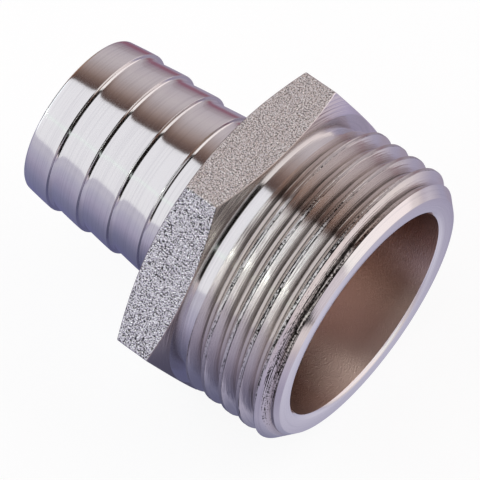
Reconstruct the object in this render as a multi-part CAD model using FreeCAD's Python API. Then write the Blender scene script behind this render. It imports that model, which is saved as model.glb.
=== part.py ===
import FreeCAD, Part
from FreeCAD import Vector
from math import cos, pi, radians, sin, tan
import os

# A hose tail in stainless steel, G 1 male thread to a 20 mm hose, turned from
# one cast blank. One solid: the pipe thread with its runout groove, the
# hexagon, a short neck and four barbs, with a stepped bore right through.
#
# Frame: the origin is the centre of the hexagon's face on the thread side.
# The thread points along +X and the barbs along -X. +Z is square to one of
# the hexagon's flats, so the part lies on the flat opposite.
# Millimetres. The part is built about Z, as it stands in the lathe, with
# the thread upwards, and is laid down at the end.

# Thread, the 55 degree parallel pipe form at 11 turns to the inch. Crests
# and roots are flat, at the full depth of the rounded form.
thread_d = 33.249
thread_pitch = 2.309
thread_depth = 0.640327 * thread_pitch
flank_angle = 27.5            # between each flank and the radius
thread_reach = 12.86          # hexagon face to thread end
start_offset = 2.03           # thread end to a groove's centre, along +Y
start_drop = 0.40             # thread roots down to the end face's edge
start_chamfer_angle = 45.0    # of the cone that starts the thread
runout_width = 0.95           # floor of the groove beside the hexagon
runout_drop = 0.14            # thread roots down to that floor
runout_wall_angle = 60.0      # of the groove's sloped wall

# Hexagon
hex_af = 34.0                 # across flats
hex_length = 5.9              # between its two faces
hex_face_d = 33.8             # circle where the corner chamfer starts
hex_chamfer_angle = 19.5      # between that chamfer and the face

# Barbs
barb_d = 20.0                 # over the crests, the hose's bore
barb_drop = 0.45              # crest down to root
barb_count = 4
barb_pitch = 4.2
step_length = 0.45            # of the leaning step behind each crest
neck_length = 4.44            # hexagon to the nearest crest
neck_chamfer = 0.40           # in the corner between neck and hexagon
tip_length = 3.46             # last crest to the end
tip_drop = 0.47               # crest down to the end's edge
tip_chamfer = 0.15

# Bores
thread_bore_d = 25.2
thread_bore_depth = 13.4      # from the thread end to the drill cone
drill_angle = 59.0            # between the cone and the axis
barb_bore_d = 15.0
mouth_chamfer = 0.40
tip_mouth_chamfer = 0.25

# Worked out from the sizes above
thread_r = thread_d / 2
root_r = thread_r - thread_depth
runout_r = root_r - runout_drop
crest_r = barb_d / 2
barb_root_r = crest_r - barb_drop
tip_z = -(hex_length + neck_length + (barb_count - 1) * barb_pitch + tip_length)


def turned(outline):
    # A solid turned about Z from (radius, height) points that start and end
    # on the axis
    points = [Vector(r, 0, z) for r, z in outline]
    face = Part.Face(Part.makePolygon(points + points[:1]))
    return face.revolve(Vector(), Vector(0, 0, 1), 360)


def groove_turn(z):
    # One turn of the helical groove as a solid, at height z where it crosses
    # the XZ plane at +X. It starts and ends half a turn away from there, clear
    # of the seams of the turned shapes. The sharp form's flanks would meet a
    # sixth of their height outside the crests, so the groove's floor is as
    # wide as that sixth leaves.
    slope = tan(radians(flank_angle))
    sharp_height = thread_pitch / (2 * slope)
    low = (sharp_height - thread_depth) / 2 * slope
    above = 0.1 * thread_pitch
    high = low + (thread_depth + above) * slope
    section = Part.makePolygon([
        Vector(root_r, 0, z - low),
        Vector(root_r, 0, z + low),
        Vector(thread_r + above, 0, z + high),
        Vector(thread_r + above, 0, z - high),
        Vector(root_r, 0, z - low)])
    helix = Part.makeLongHelix(thread_pitch, thread_pitch, root_r)
    helix.translate(Vector(0, 0, z))
    turn = Part.Wire(helix).makePipeShell([section], True, True)
    turn.rotate(Vector(), Vector(0, 0, 1), 180)
    turn.translate(Vector(0, 0, -thread_pitch / 2))
    return turn


def thread():
    # The threaded length from the runout groove's floor to the end, solid
    # inside. The groove is cut turn by turn, and runs out into free space
    # below and above.
    wall = (thread_r - runout_r) / tan(radians(runout_wall_angle))
    end_r = root_r - start_drop
    start = (thread_r - end_r) / tan(radians(start_chamfer_angle))
    blank = turned([
        (0, runout_width),
        (runout_r, runout_width),
        (thread_r, runout_width + wall),
        (thread_r, thread_reach - start),
        (end_r, thread_reach),
        (0, thread_reach)])
    z = thread_reach - start_offset + 2 * thread_pitch
    while z > runout_width - 2 * thread_pitch:
        blank = blank.cut(groove_turn(z))
        z -= thread_pitch
    return blank


def hexagon():
    # Six flats, with the corners turned off at both faces
    corner_r = hex_af / 2 / cos(pi / 6)
    corners = [Vector(corner_r * cos(k * pi / 3), corner_r * sin(k * pi / 3), -hex_length)
               for k in range(6)]
    bar = Part.Face(Part.makePolygon(corners + corners[:1])).extrude(Vector(0, 0, hex_length))
    face_r = hex_face_d / 2
    outer_r = corner_r + 1
    chamfer = (outer_r - face_r) * tan(radians(hex_chamfer_angle))
    return bar.common(turned([
        (0, -hex_length),
        (face_r, -hex_length),
        (outer_r, chamfer - hex_length),
        (outer_r, -chamfer),
        (face_r, 0),
        (0, 0)]))


def barbs():
    # From the hexagon's back face to the end. Each barb is a cone that
    # widens towards the hexagon, with a short leaning step behind its crest.
    z = -hex_length
    outline = [(0, z), (barb_root_r + neck_chamfer, z), (barb_root_r, z - neck_chamfer)]
    z -= neck_length
    for barb in range(barb_count):
        outline.append((barb_root_r, z + step_length))
        outline.append((crest_r, z))
        z -= barb_pitch
    outline += [
        (crest_r - tip_drop, tip_z + tip_chamfer),
        (crest_r - tip_drop - tip_chamfer, tip_z),
        (0, tip_z)]
    return turned(outline)


def bore():
    # The wide bore from the thread end, its drill cone, and the narrow bore
    # on through the barbs, each with a chamfered mouth
    wide_r = thread_bore_d / 2
    narrow_r = barb_bore_d / 2
    floor = thread_reach - thread_bore_depth
    cone = (wide_r - narrow_r) / tan(radians(drill_angle))
    return turned([
        (0, thread_reach + 1),
        (wide_r + mouth_chamfer + 1, thread_reach + 1),
        (wide_r, thread_reach - mouth_chamfer),
        (wide_r, floor),
        (narrow_r, floor - cone),
        (narrow_r, tip_z + tip_mouth_chamfer),
        (narrow_r + tip_mouth_chamfer + 1, tip_z - 1),
        (0, tip_z - 1)])


def hose_tail():
    # The runout groove's floor is a plain cylinder from the hexagon's face
    # to the threaded length.
    runout = Part.makeCylinder(runout_r, runout_width)
    body = hexagon().fuse([runout, barbs(), thread()])
    body = body.cut(bore()).removeSplitter()
    # Lay it down: local Z goes to +X, local X to +Y and local Y to +Z
    body.rotate(Vector(), Vector(1, 1, 1), 120)
    return body


part = hose_tail()
os.makedirs("parts", exist_ok=True)
part.exportStep("parts/hose_tail.step")
print("solids", len(part.Solids), "valid", part.isValid())
print("volume", round(part.Volume, 1), "centre", part.CenterOfGravity)
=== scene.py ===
from math import cos, pi, radians, sin, sqrt, tan

import bmesh
import bpy
import numpy as np
from mathutils import Matrix, Vector

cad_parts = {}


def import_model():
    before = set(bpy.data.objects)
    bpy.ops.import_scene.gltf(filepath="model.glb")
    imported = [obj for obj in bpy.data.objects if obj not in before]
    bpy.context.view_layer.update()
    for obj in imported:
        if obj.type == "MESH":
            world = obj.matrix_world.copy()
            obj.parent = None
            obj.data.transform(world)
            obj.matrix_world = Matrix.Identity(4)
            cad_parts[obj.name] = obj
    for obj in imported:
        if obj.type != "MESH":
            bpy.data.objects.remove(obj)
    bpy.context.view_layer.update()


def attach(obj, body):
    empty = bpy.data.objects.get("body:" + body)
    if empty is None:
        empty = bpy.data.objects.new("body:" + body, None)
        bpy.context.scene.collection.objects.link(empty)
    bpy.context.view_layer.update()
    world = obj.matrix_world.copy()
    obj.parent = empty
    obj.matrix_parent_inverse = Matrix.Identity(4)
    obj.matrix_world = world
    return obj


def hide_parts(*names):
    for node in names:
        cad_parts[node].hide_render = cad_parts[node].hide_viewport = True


# Looks of a stainless steel hose tail: a G 1 thread, a hexagon with cast
# flats and four barbs, turned from one casting. The piece made here stands
# for the CAD part, which is the same shape with plain thread crests and
# roots and plain steps behind its barbs. It is built in millimetres about
# +X and scaled to metres at the end.

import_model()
MM = 0.001


# Sizes in millimetres, from the CAD part. The runout groove, the barbs'
# steps and the thread's lead are as the photograph shows them.

THREAD_R = 33.249 / 2
PITCH = 2.309
THREAD_DEPTH = 0.640327 * PITCH   # of the 55 degree form
FLANK = radians(27.5)         # between each flank and the radius
REACH = 12.86                 # hexagon face to thread end
GROOVE_X = REACH - 1.83       # centre of a groove along +Y
ROOT_R = THREAD_R - THREAD_DEPTH
END_R = ROOT_R - 0.40         # edge of the thread's end face
BLANK_R = 17.3                # the blank before threading
RUNOUT_R = ROOT_R - 0.14      # floor of the groove beside the hexagon
RUNOUT_WIDTH = 1.22
RUNOUT_WALL = radians(68)     # that groove's sloped wall, from the axis
FLOOR_RISE = 0.16             # of its floor, towards the hexagon
JOIN_X = 0.6                  # in that groove, where the two halves meet
WALL_X = 0.04                 # how far the hexagon's face slopes out at its foot
FLAT_R = 17.0                 # axis to a flat
FACE_R = 16.9                 # where the corner chamfer starts
CHAMFER = tan(radians(19.5))
HEX_LENGTH = 5.9
CORNER_RADIUS = 0.3           # of the hexagon's cast corners
EDGE_BEVEL = 0.06             # between chamfer and flat
NECK_ARC = 0.4                # in the corner between neck and hexagon
CREST_R = 10.0                # of the barbs
BARB_DROP = 0.45              # crest down to root
BARB_XS = [-10.34, -14.54, -18.74, -22.94]
BARB_LENGTH = 3.54            # crest to the start of the next step
BARB_CURVE = 1.15             # the slope's power, where 1 is a plain cone
TIP_X = -26.4
TIP_LENGTH = 3.24             # last crest to the tip's rounded edge
WIDE_R = 12.6                 # bore in the thread end
WIDE_END_X = -0.54
NARROW_R = 7.5                # bore through the barbs
NARROW_START_X = -3.604

# Places of the finishes in the piece's list of materials
TURNED, CAST, BORED, DIE_CUT, TORN, FACED = range(6)


# Colours and nodes

def tone(code):
    # A linear colour from an sRGB hex value
    parts = [int(code[k:k + 2], 16) / 255 for k in (1, 3, 5)]
    line = [p / 12.92 if p <= 0.04045 else ((p + 0.055) / 1.055) ** 2.4 for p in parts]
    return (*line, 1.0)


def add(tree, kind, settings=None, links=None):
    # A node with its settings, and its sockets set or linked by name or
    # number. A colour ramp's stops are (position, hex colour) pairs.
    made = tree.nodes.new(kind)
    for name, value in (settings or {}).items():
        if name == "stops":
            bar = made.color_ramp.elements
            bar.remove(bar[1])
            for place, code in value[1:]:
                bar.new(place)
            for stop, (place, code) in zip(bar, value):
                stop.position = place
                stop.color = tone(code)
        else:
            setattr(made, name, value)
    for name, value in (links or {}).items():
        if isinstance(value, bpy.types.NodeSocket):
            tree.links.new(value, made.inputs[name])
        else:
            made.inputs[name].default_value = value
    return made


def material(name):
    # A new material, and its node tree, still empty
    made = bpy.data.materials.new(name)
    made.use_nodes = True
    made.node_tree.nodes.clear()
    return made, made.node_tree


# Meshes and objects

def as_data(name, mesh):
    # The mesh that was built, kept under a name, and its workings let go
    data = bpy.data.meshes.new(name)
    mesh.to_mesh(data)
    mesh.free()
    return data


def as_object(name, data):
    # A mesh or a camera placed in the scene
    made = bpy.data.objects.new(name, data)
    bpy.context.scene.collection.objects.link(made)
    return made


# Shape of the turned blank

def columns():
    # Angles about the axis, a degree apart, and closer at the six corners
    angles = set(range(360))
    for corner in range(0, 360, 60):
        for step in (0.15, 0.3, 0.45, 0.7):
            angles |= {(corner + step) % 360, (corner - step) % 360}
    return np.radians(sorted(angles))


ANGLES = columns()


def rings(rows, closed):
    # A skin of rings about the axis. Each is an (x, radius) pair, where
    # either may change with the angle.
    mesh = bmesh.new()
    made = []
    for x, r in rows:
        xs = np.broadcast_to(x, ANGLES.shape)
        rs = np.broadcast_to(r, ANGLES.shape)
        made.append([mesh.verts.new((float(p), float(q * np.cos(t)), float(q * np.sin(t))))
                     for p, q, t in zip(xs, rs, ANGLES)])
    last = len(made) if closed else len(made) - 1
    for row in range(last):
        low, high = made[row], made[(row + 1) % len(made)]
        for k in range(len(ANGLES)):
            n = (k + 1) % len(ANGLES)
            mesh.faces.new((low[k], low[n], high[n], high[k]))
    return mesh


def groove_floor(x):
    # The runout groove's floor rises a little towards the hexagon
    return x, RUNOUT_R + FLOOR_RISE * (1 - x / RUNOUT_WIDTH)


def thread_blank_rows():
    # The thread end before threading, from the runout groove outwards. The
    # last four rows are the chamfered mouth of the bore.
    wall = (BLANK_R - RUNOUT_R) / tan(RUNOUT_WALL)
    start = BLANK_R - END_R
    return [
        (JOIN_X, WIDE_R), groove_floor(JOIN_X), groove_floor(RUNOUT_WIDTH - 0.03),
        groove_floor(RUNOUT_WIDTH), (RUNOUT_WIDTH + wall, BLANK_R),
        (REACH - start, BLANK_R), (REACH - 0.05, END_R + 0.05),
        (REACH - 0.01, END_R + 0.005), (REACH, END_R - 0.04),
        (REACH, WIDE_R + 0.43), (REACH - 0.02, WIDE_R + 0.38),
        (REACH - 0.38, WIDE_R + 0.02), (REACH - 0.44, WIDE_R)]


def hexagon_radius():
    # Axis to the hexagon's side, its corners rounded as the casting is
    centre = (FLAT_R - CORNER_RADIUS) / cos(pi / 6)
    turn = (ANGLES + pi / 6) % (pi / 3) - pi / 6
    plain = FLAT_R / np.cos((ANGLES % (pi / 3)) - pi / 6)
    across = centre * np.sin(turn)
    inside = np.abs(across) < CORNER_RADIUS / 2
    arc = centre * np.cos(turn) + np.sqrt(np.maximum(CORNER_RADIUS ** 2 - across ** 2, 0))
    return np.where(inside, arc, plain)


def hexagon_rows():
    # From the runout groove over the hexagon to its back face. Where the
    # corners are turned off, the chamfer's rings follow the hexagon's side.
    side = hexagon_radius()
    foot_r = groove_floor(WALL_X)[1]
    rows = [
        groove_floor(JOIN_X), groove_floor(0.12), groove_floor(WALL_X + 0.02),
        (WALL_X, foot_r + 0.02), (WALL_X * 0.95, foot_r + 0.1),
        (0.01, FACE_R - 0.1), (0, FACE_R - 0.02)]
    chamfer = []
    for share in (0.02, 0.3, 0.65, 1.0):
        r = FACE_R + share * (side - EDGE_BEVEL - FACE_R)
        chamfer.append((np.maximum(r - FACE_R, 0) * CHAMFER, r))
    rows += [(-x, r) for x, r in chamfer]
    front = -(side - FACE_R) * CHAMFER - EDGE_BEVEL
    back = -HEX_LENGTH - front
    rows += [(front + share * (back - front), side) for share in np.linspace(0, 1, 13)]
    rows += [(-HEX_LENGTH + x, r) for x, r in reversed(chamfer)]
    return rows + [(-HEX_LENGTH, FACE_R - 0.02), (-HEX_LENGTH, 13.0)]


def barb_slope(down):
    # Radius so far down a barb's slope, from its crest
    return CREST_R - BARB_DROP * (down / BARB_LENGTH) ** BARB_CURVE


def spigot_rows():
    # From the neck over the barbs to the tip, and back inside along the bore
    rows = []
    root_r = CREST_R - BARB_DROP
    for swing in np.linspace(0, pi / 2, 5):
        rows.append((-HEX_LENGTH - NECK_ARC * (1 - cos(swing)), root_r + NECK_ARC * (1 - sin(swing))))
    # Behind each crest, a foot arc and a steep wall, as (x past the crest,
    # radius below it)
    step = [
        (0.52, 0.45), (0.44, 0.44), (0.36, 0.422), (0.28, 0.396), (0.2, 0.362),
        (0.12, 0.318), (0.05, 0.06), (0.035, 0.03), (0.01, 0.014), (-0.03, 0.008)]
    for x in BARB_XS:
        rows += [(x + a, CREST_R - d) for a, d in step]
        length = BARB_LENGTH if x > BARB_XS[-1] else TIP_LENGTH
        rows += [(x - a, barb_slope(a)) for a in np.linspace(0.09, length - 0.02, 8)]
    tip_r = barb_slope(TIP_LENGTH)
    rows += [
        (TIP_X + 0.14, tip_r - 0.02), (TIP_X + 0.06, tip_r - 0.07),
        (TIP_X + 0.01, tip_r - 0.15), (TIP_X, tip_r - 0.2),
        (TIP_X, NARROW_R + 0.27), (TIP_X + 0.02, NARROW_R + 0.22),
        (TIP_X + 0.23, NARROW_R + 0.02), (TIP_X + 0.27, NARROW_R)]
    return rows + [(NARROW_START_X, NARROW_R), (WIDE_END_X, WIDE_R), (JOIN_X, WIDE_R)]


# Thread

def thread_section():
    # (along the axis, radius) from one root's middle to the next: a rounded
    # root, the flank, and a crest with the low burr that the die leaves
    # along both its edges
    half = PITCH / 2
    root_radius = 0.16
    lean = tan(FLANK)
    crest_half = (PITCH / lean / 2 - THREAD_DEPTH) / 2 * lean
    # Half the crest, as (from its middle, below the full radius)
    crest = [
        (0.0, 0.022), (0.06, 0.026), (0.11, 0.012), (0.15, 0.0), (0.185, 0.008),
        (0.203, 0.03), (0.22, 0.068)]
    root = []
    for step in range(5):
        swing = (pi / 2 - FLANK) * step / 4
        root.append((-half + root_radius * sin(swing), ROOT_R + root_radius * (1 - cos(swing))))
    # The root's arc is drawn out sideways until it meets the flank
    foot = root_radius * (1 - sin(FLANK))
    shift = -half + crest_half + foot * lean - root[-1][0]
    points = [(s + shift * min(1, k / 2), r) for k, (s, r) in enumerate(root)]
    for share in (0.35, 0.7):
        drop = THREAD_DEPTH * (1 - share)
        points.append((-crest_half - drop * lean, THREAD_R - drop))
    points += [(-s, THREAD_R - d) for s, d in reversed(crest)]
    points += [(-s, r) for s, r in reversed(points[:-1])]
    return points[:-1]


def threaded_rod():
    # One long helical skin, closed at both ends by a fan far outside the
    # part. It starts seven turns before the groove at GROOVE_X. The burr
    # along the crests is uneven.
    per_turn, turns = 180, 9
    section = thread_section()
    count = len(section)
    low_x = GROOVE_X - 7 * PITCH + PITCH / 2
    fan_depth = 4
    burr_at, burr_width, burr_spread = 0.18, 0.03, 0.006
    rand = np.random.default_rng(4)
    burr = rand.normal(0, burr_spread, (turns + 1, per_turn + 1, count))
    mesh = bmesh.new()
    made = {}
    for i in range((turns + 1) * per_turn + 1):
        angle = 2 * pi * i / per_turn
        for j, (s, r) in enumerate(section):
            if j and i > turns * per_turn:
                break
            x = low_x + PITCH * i / per_turn + s
            if abs(abs(s) - burr_at) < burr_width:
                r += burr[min(i // per_turn, turns), i % per_turn, j]
            made[i, j] = mesh.verts.new((x, r * cos(angle), r * sin(angle)))
    for i in range(turns * per_turn):
        for j in range(count):
            # The last point of the section joins the first, one turn on
            k, on = (0, per_turn) if j == count - 1 else (j + 1, 0)
            mesh.faces.new((made[i, j], made[i + 1, j], made[i + 1 + on, k], made[i + on, k]))
    for start, tip_x in (
            (0, low_x - fan_depth),
            (turns * per_turn, low_x + (turns + 1) * PITCH + fan_depth)):
        loop = [made[i, 0] for i in range(start, start + per_turn + 1)]
        loop += [made[start, j] for j in range(count - 1, 0, -1)]
        tip = mesh.verts.new((tip_x, 0, 0))
        for a, b in zip(loop, loop[1:] + loop[:1]):
            mesh.faces.new((a, b, tip))
    bmesh.ops.recalc_face_normals(mesh, faces=mesh.faces)
    return mesh


def cut_thread():
    # The part of the blank inside the threaded rod, as a mesh
    blank_mesh = rings(thread_blank_rows(), True)
    bmesh.ops.recalc_face_normals(blank_mesh, faces=blank_mesh.faces)
    blank = as_object("thread_blank", as_data("thread_blank", blank_mesh))
    rod = as_object("threaded_rod", as_data("threaded_rod", threaded_rod()))
    cut = blank.modifiers.new("thread", "BOOLEAN")
    cut.operation = "INTERSECT"
    cut.solver = "EXACT"
    cut.object = rod
    bpy.context.view_layer.update()
    shape = blank.evaluated_get(bpy.context.evaluated_depsgraph_get())
    made = bmesh.new()
    made.from_mesh(shape.to_mesh())
    for old in (blank, rod):
        data = old.data
        bpy.data.objects.remove(old)
        bpy.data.meshes.remove(data)
    return made


# The whole piece

def finish_at(centre, normal):
    # Which finish a face has, from where it lies and how it faces. The start
    # cone of the thread and its end face are turned.
    radius = sqrt(centre.y ** 2 + centre.z ** 2)
    end_on = abs(normal.x)
    if -HEX_LENGTH < centre.x < -0.02 and end_on < 0.1 and radius > FACE_R:
        return CAST
    outwards = normal.dot(Vector((0, centre.y, centre.z)))
    if end_on < 0.9 and radius < WIDE_R + 0.01 and outwards < 0:
        return BORED
    on_thread = centre.x > RUNOUT_WIDTH and radius > ROOT_R - 0.02
    before_start_cone = centre.x + radius < REACH + END_R - 0.02
    if on_thread and before_start_cone:
        return TORN if radius > THREAD_R - 0.12 else DIE_CUT
    if 0.5 < end_on < 0.97 and radius > FACE_R and centre.x < 0:
        return FACED
    return TURNED


def hose_tail():
    whole = rings(hexagon_rows() + spigot_rows(), False)
    front = cut_thread()
    near = 1e-4
    join = [f for f in front.faces if all(abs(v.co.x - JOIN_X) < near for v in f.verts)]
    bmesh.ops.delete(front, geom=join, context="FACES")
    data = as_data("front", front)
    whole.from_mesh(data)
    bpy.data.meshes.remove(data)
    bmesh.ops.remove_doubles(whole, verts=whole.verts, dist=near)
    bmesh.ops.recalc_face_normals(whole, faces=whole.faces)
    for face in whole.faces:
        face.material_index = finish_at(face.calc_center_median(), face.normal)
        face.smooth = True
    whole.transform(Matrix.Scale(MM, 4))
    made = as_object("hose_tail_turned", as_data("hose_tail_turned", whole))
    # In the order that TURNED to FACED give
    for finish in (
            turned_steel, cast_steel, bored_steel, die_cut_steel, torn_steel, faced_steel):
        made.data.materials.append(finish())
    made.data.set_sharp_from_angle(angle=radians(24))
    return made


# Finishes

def bare_metal(tree, colour, roughness, marks, depth):
    # Ends a finish: bare steel of a colour, its marks so many millimetres deep
    bump = add(tree, "ShaderNodeBump", links={
        "Height": marks, "Distance": depth * MM, "Strength": 1.0})
    shader = add(tree, "ShaderNodeBsdfPrincipled", links={
        "Base Color": colour, "Metallic": 1.0, "Roughness": roughness,
        "Normal": bump.outputs["Normal"]})
    add(tree, "ShaderNodeOutputMaterial", links={"Surface": shader.outputs[0]})


def from_axis(tree):
    # How far the surface is from the axis
    place = add(tree, "ShaderNodeTexCoord").outputs["Object"]
    across = add(tree, "ShaderNodeVectorMath", {"operation": "MULTIPLY"},
                 {0: place, 1: (0, 1, 1)})
    return add(tree, "ShaderNodeVectorMath", {"operation": "LENGTH"},
               {0: across.outputs[0]}).outputs["Value"]


def tool_rings(tree, spacing, breaks=55):
    # The marks that a lathe tool leaves round the axis, some spacing mm apart,
    # and broken along their length so many times a metre
    place = add(tree, "ShaderNodeTexCoord").outputs["Object"]
    along = add(tree, "ShaderNodeSeparateXYZ", links={0: place}).outputs[0]
    across_rings = [
        add(tree, "ShaderNodeMath", {"operation": "MULTIPLY"},
            {0: distance, 1: 1 / (spacing * MM)}).outputs[0]
        for distance in (along, from_axis(tree))]
    packed = add(tree, "ShaderNodeCombineXYZ", links=dict(enumerate(across_rings)))
    spread = add(tree, "ShaderNodeVectorMath", {"operation": "MULTIPLY"},
                 {0: place, 1: (0, breaks, breaks)})
    vector = add(tree, "ShaderNodeVectorMath", {"operation": "ADD"},
                 {0: packed.outputs[0], 1: spread.outputs[0]})
    return add(tree, "ShaderNodeTexNoise", links={
        "Vector": vector.outputs[0], "Scale": 1.0, "Detail": 2.0,
        "Roughness": 0.6}).outputs["Fac"]


def turned_steel():
    # Austenitic stainless steel, fine turned: bright, with faint grey rings
    # where the tool passed, which draw the lights out along the axis. The
    # tool's own feed is nearer 0.1 mm, too fine to show.
    made, tree = material("turned_stainless_steel")
    marks = tool_rings(tree, 0.2)
    colour = add(tree, "ShaderNodeValToRGB", {
        "stops": [(0.36, "#e1dfdf"), (0.5, "#e9e7e6")]}, {"Fac": marks}).outputs["Color"]
    bare_metal(tree, colour, 0.13, marks, 0.004)
    return made


def faced_steel():
    # The hexagon's chamfers, turned fast and coarse: grey with plain tool arcs,
    # and painted light that makes them brighter towards +Y
    made, tree = material("faced_stainless_steel")
    place = add(tree, "ShaderNodeTexCoord").outputs["Object"]
    # Painted shade and light: greyer towards -Y, brighter towards +Y
    side = add(tree, "ShaderNodeMapRange", links={
        "Value": add(tree, "ShaderNodeSeparateXYZ", links={0: place}).outputs[1],
        "From Min": 2 * MM, "From Max": 11 * MM})
    colour = add(tree, "ShaderNodeValToRGB", {
        "stops": [(0.0, "#b6ada8"), (1.0, "#f2ecf2")]},
        {"Fac": side.outputs[0]}).outputs["Color"]
    bare_metal(tree, colour, 0.2, tool_rings(tree, 0.3), 0.09)
    return made


def tears(tree, lean):
    # How torn the surface is, from fine specks and streaks, from the lean
    # given, and from the place: most of all along one side and near the
    # thread's end
    place = add(tree, "ShaderNodeTexCoord").outputs["Object"]
    specks = add(tree, "ShaderNodeTexNoise", links={
        "Vector": place, "Scale": 1 / (0.22 * MM), "Detail": 3.0,
        "Roughness": 0.7}).outputs["Fac"]
    specks = add(tree, "ShaderNodeMath", {"operation": "ADD"},
                 {0: specks, 1: tool_rings(tree, 0.11, 260)})
    worst_side = radians(132)
    worst = Vector((0.5, cos(worst_side), sin(worst_side))) / (18 * MM)
    side = add(tree, "ShaderNodeVectorMath", {"operation": "DOT_PRODUCT"},
               {0: place, 1: worst})
    side = add(tree, "ShaderNodeMapRange", links={
        "Value": side.outputs["Value"], "From Min": 0.6, "From Max": 1.15,
        "To Min": -0.28, "To Max": 0.0})
    torn = add(tree, "ShaderNodeMath", {"operation": "MULTIPLY_ADD"},
               {0: lean, 1: 0.4, 2: specks.outputs[0]})
    return add(tree, "ShaderNodeMath", {"operation": "ADD"},
               {0: torn.outputs[0], 1: side.outputs[0]}).outputs[0]


def streaked_root_shade(tree, place, along, radius):
    # Painted shade in long dark streaks round the groove, some 0.3 mm apart,
    # low on the flanks that face the hexagon near the root, and only past the
    # wall of the groove beside it. They break so many times a metre.
    spacing, breaks = 0.3 * MM, 90
    height = add(tree, "ShaderNodeMath", {"operation": "MULTIPLY"},
                 {0: radius, 1: 1 / spacing})
    height = add(tree, "ShaderNodeCombineXYZ", links={1: height.outputs[0]})
    streak_shade = add(tree, "ShaderNodeVectorMath", {"operation": "MULTIPLY_ADD"},
                {0: place, 1: (breaks, breaks, breaks), 2: height.outputs[0]})
    streak_shade = add(tree, "ShaderNodeTexNoise", links={
        "Vector": streak_shade.outputs[0], "Scale": 1.0, "Detail": 1.0, "Roughness": 0.6})
    streak_shade = add(tree, "ShaderNodeMapRange", links={
        "Value": streak_shade.outputs["Fac"], "From Min": 0.4, "From Max": 0.52})
    normal = add(tree, "ShaderNodeTexCoord").outputs["Normal"]
    facing = add(tree, "ShaderNodeSeparateXYZ", links={0: normal}).outputs[0]
    inner = add(tree, "ShaderNodeMapRange", links={
        "Value": facing, "From Min": -0.3, "From Max": -0.7, "To Max": 0.8})
    low = add(tree, "ShaderNodeMapRange", links={
        "Value": radius, "From Min": (ROOT_R + 0.5) * MM, "From Max": (ROOT_R + 0.2) * MM})
    past = add(tree, "ShaderNodeMapRange", links={
        "Value": along, "From Min": (RUNOUT_WIDTH + 0.5) * MM,
        "From Max": (RUNOUT_WIDTH + 0.9) * MM})
    for share in (inner, low, past):
        streak_shade = add(tree, "ShaderNodeMath", {"operation": "MULTIPLY"},
                    {0: streak_shade.outputs[0], 1: share.outputs[0]})
    return streak_shade.outputs[0]


def die_cut_steel():
    # The thread's flanks and roots, cut with a die: coarser marks along the
    # groove, painted shade that darkens the colour down into the root, dark
    # torn streaks in the last groove, and long dark streaks of painted shade
    # low on the flanks that face the hexagon
    made, tree = material("die_cut_stainless_steel")
    radius = from_axis(tree)
    # Painted shade: the colour darkens from the flanks down into the root, where shade falls
    depth = add(tree, "ShaderNodeMapRange", links={
        "Value": radius, "From Min": ROOT_R * MM, "From Max": (ROOT_R + 0.7) * MM})
    colour = add(tree, "ShaderNodeValToRGB", {
        "stops": [(0.0, "#cbc2bc"), (0.4, "#dfd8d4"), (1.0, "#ece8e5")]},
        {"Fac": depth.outputs[0]}).outputs["Color"]
    place = add(tree, "ShaderNodeTexCoord").outputs["Object"]
    along = add(tree, "ShaderNodeSeparateXYZ", links={0: place}).outputs[0]
    last = add(tree, "ShaderNodeMapRange", links={
        "Value": along, "From Min": (REACH - 1.9) * MM, "From Max": (REACH - 1.5) * MM,
        "To Min": -0.6, "To Max": 0.25})
    torn = add(tree, "ShaderNodeMapRange", links={
        "Value": tears(tree, last.outputs[0]), "From Min": 1.03, "From Max": 1.12})
    # Real tears, and the painted shade of the dark streaks low on the flanks that face the hexagon
    torn = add(tree, "ShaderNodeMath", {"operation": "MAXIMUM"},
               {0: torn.outputs[0], 1: streaked_root_shade(tree, place, along, radius)})
    colour = add(tree, "ShaderNodeMix", {"data_type": "RGBA"}, {
        "Factor": torn.outputs[0], "A": colour, "B": tone("#1b1512")}).outputs["Result"]
    bare_metal(tree, colour, 0.14, tool_rings(tree, 0.15), 0.03)
    return made


def torn_steel():
    # The thread's crests, where the die drags: ridged along the thread, and
    # torn into dark specks and streaks along both edges
    made, tree = material("torn_stainless_steel")
    normal = add(tree, "ShaderNodeTexCoord").outputs["Normal"]
    facing = add(tree, "ShaderNodeSeparateXYZ", links={0: normal}).outputs[0]
    facing = add(tree, "ShaderNodeMath", {"operation": "ABSOLUTE"}, {0: facing})
    edge = add(tree, "ShaderNodeMapRange", links={
        "Value": facing.outputs[0], "From Min": 0.1, "From Max": 0.7,
        "To Min": -0.1, "To Max": 0.4})
    torn = add(tree, "ShaderNodeMapRange", links={
        "Value": tears(tree, edge.outputs[0]), "From Min": 0.98, "From Max": 1.03})
    colour = add(tree, "ShaderNodeValToRGB", {
        "stops": [(0.0, "#d5d1ce"), (0.5, "#4b423c"), (1.0, "#14100e")]},
        {"Fac": torn.outputs[0]}).outputs["Color"]
    bare_metal(tree, colour, 0.2, tool_rings(tree, 0.16), 0.05)
    return made


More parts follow.
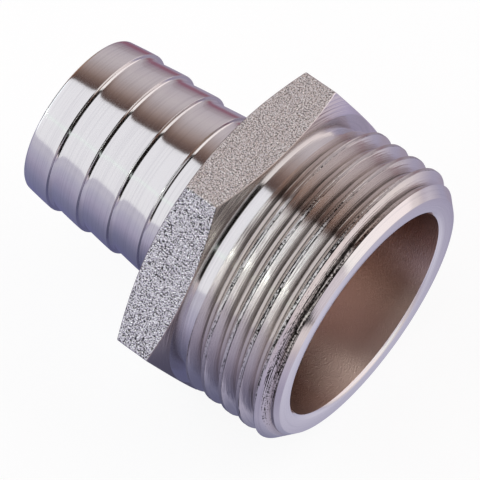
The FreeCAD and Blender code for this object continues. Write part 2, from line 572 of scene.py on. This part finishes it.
def cast_steel():
    # The casting's own skin, shot blasted: a grain of about 0.2 mm that
    # breaks reflections into light and dark specks, with dark pits in it, and
    # painted shade that makes them darkest on the flats towards -Y
    made, tree = material("cast_stainless_steel")
    place = add(tree, "ShaderNodeTexCoord").outputs
    grain = add(tree, "ShaderNodeTexNoise", links={
        "Vector": place["Object"], "Scale": 1 / (0.17 * MM), "Detail": 1.0,
        "Roughness": 0.6}).outputs["Fac"]
    pits = add(tree, "ShaderNodeValToRGB", {
        "stops": [(0.38, "#3c3836"), (0.46, "#f4f2f0"), (1.0, "#ffffff")]},
        {"Fac": grain}).outputs["Color"]
    # Painted shade: the dark pits show in full on the flats that face -Y and are muted elsewhere
    facing = add(tree, "ShaderNodeSeparateXYZ", links={0: place["Normal"]}).outputs[1]
    share = add(tree, "ShaderNodeMapRange", links={
        "Value": facing, "From Min": -0.1, "From Max": -0.8, "To Min": 0.7, "To Max": 1.0})
    colour = add(tree, "ShaderNodeMix", {"data_type": "RGBA"}, {
        "Factor": share.outputs[0], "A": tone("#dfd5d0"), "B": pits}).outputs["Result"]
    bare_metal(tree, colour, 0.12, grain, 0.2)
    return made


def bored_steel():
    # The bored inside: coarser rings, and a brownish colour with painted
    # shade that is darker to both sides of what the mouth shows
    made, tree = material("bored_stainless_steel")
    place = add(tree, "ShaderNodeTexCoord").outputs["Object"]
    across = add(tree, "ShaderNodeVectorMath", {"operation": "DOT_PRODUCT"},
                 {0: place, 1: Vector((0, 0.86, 0.51)) / (2 * WIDE_R * MM)})
    across = add(tree, "ShaderNodeMath", {"operation": "ADD"},
                 {0: across.outputs["Value"], 1: 0.5})
    # Painted shade inside the bore: brownish, darker to both sides of the mouth
    mouth_shade = add(tree, "ShaderNodeValToRGB", {
        "stops": [(0.0, "#8a736b"), (0.1, "#ab9084"), (0.28, "#eed9cc"), (0.8, "#f0d9cc"),
                  (0.9, "#bd9d8f"), (1.0, "#947569")]},
        {"Fac": across.outputs[0]}).outputs["Color"]
    bare_metal(tree, mouth_shade, 0.34, tool_rings(tree, 0.11, 2800), 0.045)
    return made


# The studio

def sheet_object(name, points, faces, finish):
    data = bpy.data.meshes.new(name)
    data.from_pydata(points, [], faces)
    data.materials.append(finish)
    made = as_object(name, data)
    return made


def painted_patch(tree, place, table, centre, far, near, share, code):
    # A round patch of painted shade or painted light on the table, in another colour, sizes in
    # millimetres
    distance = add(tree, "ShaderNodeVectorMath", {"operation": "DISTANCE"},
                   {0: place, 1: (centre[0] * MM, centre[1] * MM, -FLAT_R * MM)})
    inside = add(tree, "ShaderNodeMapRange", links={
        "Value": distance.outputs["Value"], "From Min": far * MM, "From Max": near * MM,
        "To Max": share})
    return add(tree, "ShaderNodeMix", {"data_type": "RGBA"}, {
        "Factor": inside.outputs[0], "A": table, "B": tone(code)}).outputs["Result"]


def graded(tree, value, per_metre, stops):
    # Colours that change along a distance, their stops at distance times
    # per_metre
    scaled = add(tree, "ShaderNodeMath", {"operation": "MULTIPLY"}, {0: value, 1: per_metre})
    return add(tree, "ShaderNodeValToRGB", {"stops": stops},
               {"Fac": scaled.outputs[0]}).outputs["Color"]


def table_painted_shade_and_light(tree):
    # What the metal mirrors of the table: a lavender colour with a painted
    # shadow that deepens close to the object and behind it, painted light that
    # brightens it before the thread's end, and a faint reddish strip behind the barbs that the metal
    # shows as a painted reflection.
    place = add(tree, "ShaderNodeTexCoord").outputs["Object"]
    parts = add(tree, "ShaderNodeSeparateXYZ", links={0: place}).outputs
    # Painted shadow: the table darkens close to the object, before it and behind it
    front = graded(tree, parts[1], -10.0, [
        (0.0, "#6c6c93"), (0.08, "#75759c"), (0.13, "#7c7d9e"), (0.18, "#8484a3"),
        (0.22, "#908eac"), (0.29, "#9f9ab5"), (0.38, "#afaac3"), (0.55, "#b8b5cb"),
        (0.95, "#c9c6d6")])
    back = graded(tree, parts[1], 5.0, [
        (0.0, "#767ca4"), (0.08, "#908aa6"), (0.2, "#a399ac"), (0.5, "#a69ba6"),
        (0.9, "#aca0a8")])
    # Painted reflection: a faint reddish strip on the table behind the barbs
    slant = add(tree, "ShaderNodeMath", {"operation": "MULTIPLY_ADD"},
                {0: parts[0], 1: -3.1, 2: parts[1]})
    slant = add(tree, "ShaderNodeValToRGB", {
        "stops": [(0.14, "#ffffff"), (0.18, "#dfa9b2"), (0.22, "#dfa9b2"), (0.28, "#efdfe4"),
                  (0.5, "#ffffff")]},
        {"Fac": slant.outputs[0]}).outputs["Color"]
    beside = add(tree, "ShaderNodeMapRange", links={
        "Value": parts[0], "From Min": -18 * MM, "From Max": -28 * MM})
    back = add(tree, "ShaderNodeMix", {"data_type": "RGBA", "blend_type": "MULTIPLY"}, {
        "Factor": beside.outputs[0], "A": back, "B": slant}).outputs["Result"]
    behind = add(tree, "ShaderNodeMapRange", links={
        "Value": parts[1], "From Min": -4 * MM, "From Max": 4 * MM})
    table = add(tree, "ShaderNodeMix", {"data_type": "RGBA"}, {
        "Factor": behind.outputs[0], "A": front, "B": back}).outputs["Result"]
    # Painted shadow on the table at the hexagon's foot
    table = painted_patch(tree, place, table, (-2, -12), 32, 8, 0.4, "#26243a")
    # Painted light: the table brightens away from the thread's end
    ahead = graded(tree, parts[0], 1 / 0.15, [
        (0.08, "#a6a2bb"), (0.2, "#aaa3bb"), (0.3, "#beb6cb"), (0.5, "#cabfca"),
        (0.7, "#d9cdd0"), (0.9, "#e8dcde")])
    past_end = add(tree, "ShaderNodeMapRange", links={
        "Value": parts[0], "From Min": 11 * MM, "From Max": 17 * MM})
    table = add(tree, "ShaderNodeMix", {"data_type": "RGBA"}, {
        "Factor": past_end.outputs[0], "A": table, "B": ahead}).outputs["Result"]
    # Painted light: bright patches before the thread's end and far off towards +X and +Y
    table = painted_patch(tree, place, table, (27, 4), 26, 6, 1.0, "#d4d1e4")
    return painted_patch(tree, place, table, (95, 52), 75, 38, 1.0, "#ece2e2")


def floor():
    # A pale lavender table under white light. The camera sees it white, with
    # the object's faint shadow, and the metal mirrors a lavender colour with
    # painted shadow and painted light on it. From below it is clear, so that the object's underside
    # can be seen.
    made, tree = material("pale_table")
    reach = 4
    path = add(tree, "ShaderNodeLightPath").outputs
    # What glossy rays see: the table with its painted shadow and painted light
    mirrored_painted_table = add(tree, "ShaderNodeEmission", links={"Color": table_painted_shade_and_light(tree)})
    own = add(tree, "ShaderNodeBsdfDiffuse", links={"Color": tone("#c6c5d2")})
    shown = add(tree, "ShaderNodeBsdfDiffuse", links={"Color": (0.16, 0.16, 0.16, 1)})
    white = add(tree, "ShaderNodeEmission", links={"Color": (1, 1, 1, 1), "Strength": 0.9})
    paper = add(tree, "ShaderNodeAddShader", links={0: shown.outputs[0], 1: white.outputs[0]})
    seen = add(tree, "ShaderNodeMath", {"operation": "MAXIMUM"},
               {0: path["Is Camera Ray"], 1: path["Is Transmission Ray"]})
    under = add(tree, "ShaderNodeNewGeometry").outputs["Backfacing"]
    clear = add(tree, "ShaderNodeBsdfTransparent")
    surface = own.outputs[0]
    for share, other in (
            (path["Is Glossy Ray"], mirrored_painted_table), (seen.outputs[0], paper), (under, clear)):
        surface = add(tree, "ShaderNodeMixShader", links={
            0: share, 1: surface, 2: other.outputs[0]}).outputs[0]
    add(tree, "ShaderNodeOutputMaterial", links={"Surface": surface})
    gap = 0.02
    z = (-FLAT_R - gap) * MM
    corners = [(-reach, -reach, z), (reach, -reach, z), (reach, reach, z), (-reach, reach, z)]
    sheet_object("table", corners, [(0, 1, 2, 3)], made)


def arch(name, low_x, high_x, low, high, stops, strength=1.0, radius=0.7):
    # One side of the light tent: part of a cylinder about the object's axis,
    # lit in the given colours from the angle low to the angle high. Sizes
    # are in metres and angles in degrees.
    finish, tree = material(name)
    place = add(tree, "ShaderNodeTexCoord").outputs["Object"]
    parts = add(tree, "ShaderNodeSeparateXYZ", links={0: place}).outputs
    angle = add(tree, "ShaderNodeMath", {"operation": "ARCTAN2"}, {0: parts[2], 1: parts[1]})
    share = add(tree, "ShaderNodeMapRange", links={
        "Value": angle.outputs[0], "From Min": radians(low), "From Max": radians(high)})
    colour = add(tree, "ShaderNodeValToRGB", {"stops": stops}, {"Fac": share.outputs[0]})
    light = add(tree, "ShaderNodeEmission", links={
        "Color": colour.outputs["Color"], "Strength": strength})
    add(tree, "ShaderNodeOutputMaterial", links={"Surface": light.outputs[0]})
    strips = 60
    turns = np.radians(np.linspace(low, high, strips + 1))
    points = [(x, radius * cos(t), radius * sin(t)) for t in turns for x in (low_x, high_x)]
    faces = [(2 * k, 2 * k + 1, 2 * k + 3, 2 * k + 2) for k in range(strips)]
    made = sheet_object(name, points, faces, finish)
    made.visible_camera = False


def tent():
    # Angles run from the table behind the object, over it, to the table in
    # front. Over the barbs the front is a lit panel and the back a grey wall
    # that darkens upwards. Over the thread, from turnover_x on, the back is
    # lit and the front dark.
    foot, ridge, thread_ridge, front_foot = -3, 84.6, 78, 181
    turnover_x = 0.08
    end_x = -0.7
    far_end_x = -1.3
    dark = [(0, "#1c1815"), (1, "#120f0e")]
    arch("front_panel", end_x, turnover_x, ridge, front_foot, [
        (0, "#f7f7fd"), (1, "#f7f7fd")], 0.99)
    arch("front_panel_end", far_end_x, end_x, ridge, front_foot, [
        (0, "#e6eef3"), (0.45, "#e9f1f6"), (0.6, "#f8fdff"), (1, "#f8fdff")], 1.75)
    arch("front_end", -3, far_end_x, ridge, front_foot, dark)
    # The panel's bright seam, just inside it
    seam = [(0, "#f2fffa"), (1, "#f2fffa")]
    for name, low_x, high_x, strength in (
            ("front_seam_end", far_end_x, end_x, 9.0), ("front_seam", end_x, turnover_x, 1.06),
            ("front_seam_dark", turnover_x, 0.6, 1.0)):
        arch(name, low_x, high_x, 145.8, 148, seam, strength, 0.69)
    wall_end_x = -0.62
    arch("back_wall", wall_end_x, turnover_x, foot, ridge, [
        (0.0, "#b8adb6"), (0.11, "#c2b9c0"), (0.22, "#c7bdc3"), (0.34, "#c9c0c4"),
        (0.46, "#c2b8bc"), (0.57, "#b4a8a9"), (0.69, "#a49390"), (0.81, "#836e67"),
        (0.93, "#5e4a46"), (1.0, "#4a3833")])
    arch("back_wall_end", -3, wall_end_x, foot, ridge, [
        (0.0, "#93848b"), (0.1, "#9e8e87"), (0.19, "#a79589"), (0.28, "#ab9687"),
        (0.38, "#b19b8c"), (0.49, "#ac9184"), (0.6, "#a98a7d"), (0.72, "#977361"),
        (0.84, "#765547"), (1.0, "#5a3b30")])
    arch("front_dark", turnover_x, 1.9, thread_ridge, front_foot, dark)
    arch("front_dim", 1.9, 4, thread_ridge, front_foot, [(0, "#e6dbe2"), (1, "#e0d6e0")])
    arch("back_panel", turnover_x, 4, foot, thread_ridge, [
        (0, "#fff2f3"), (1, "#fffaf9")], 1.08)


def world():
    # White to the camera and in the metal, and a soft grey light otherwise
    made = bpy.data.worlds.new("studio")
    bpy.context.scene.world = made
    made.use_nodes = True
    tree = made.node_tree
    tree.nodes.clear()
    path = add(tree, "ShaderNodeLightPath").outputs
    seen = path["Is Camera Ray"]
    for kind in ("Is Glossy Ray", "Is Transmission Ray"):
        seen = add(tree, "ShaderNodeMath", {"operation": "MAXIMUM"},
                   {0: seen, 1: path[kind]}).outputs[0]
    plain = add(tree, "ShaderNodeBackground", links={
        "Color": (0.8, 0.8, 0.82, 1), "Strength": 0.6})
    white = add(tree, "ShaderNodeBackground", links={"Color": (1, 1, 1, 1), "Strength": 1.0})
    both = add(tree, "ShaderNodeMixShader", links={
        0: seen, 1: plain.outputs[0], 2: white.outputs[0]})
    add(tree, "ShaderNodeOutputWorld", links={"Surface": both.outputs[0]})


def camera():
    # Where the photograph was taken from, and its long lens
    data = bpy.data.cameras.new("camera")
    data.lens = 287.06
    data.clip_start = 0.01
    data.clip_end = 20
    made = as_object("camera", data)
    made.location = (0.1255193, -0.1956872, 0.3309855)
    made.rotation_euler = (radians(34.98680), radians(-3.81249), radians(38.96184))
    bpy.context.scene.camera = made


piece = hose_tail()
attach(piece, "root")
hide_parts("hose_tail")
floor()
tent()
world()
camera()
bpy.context.scene.view_settings.view_transform = "Standard"
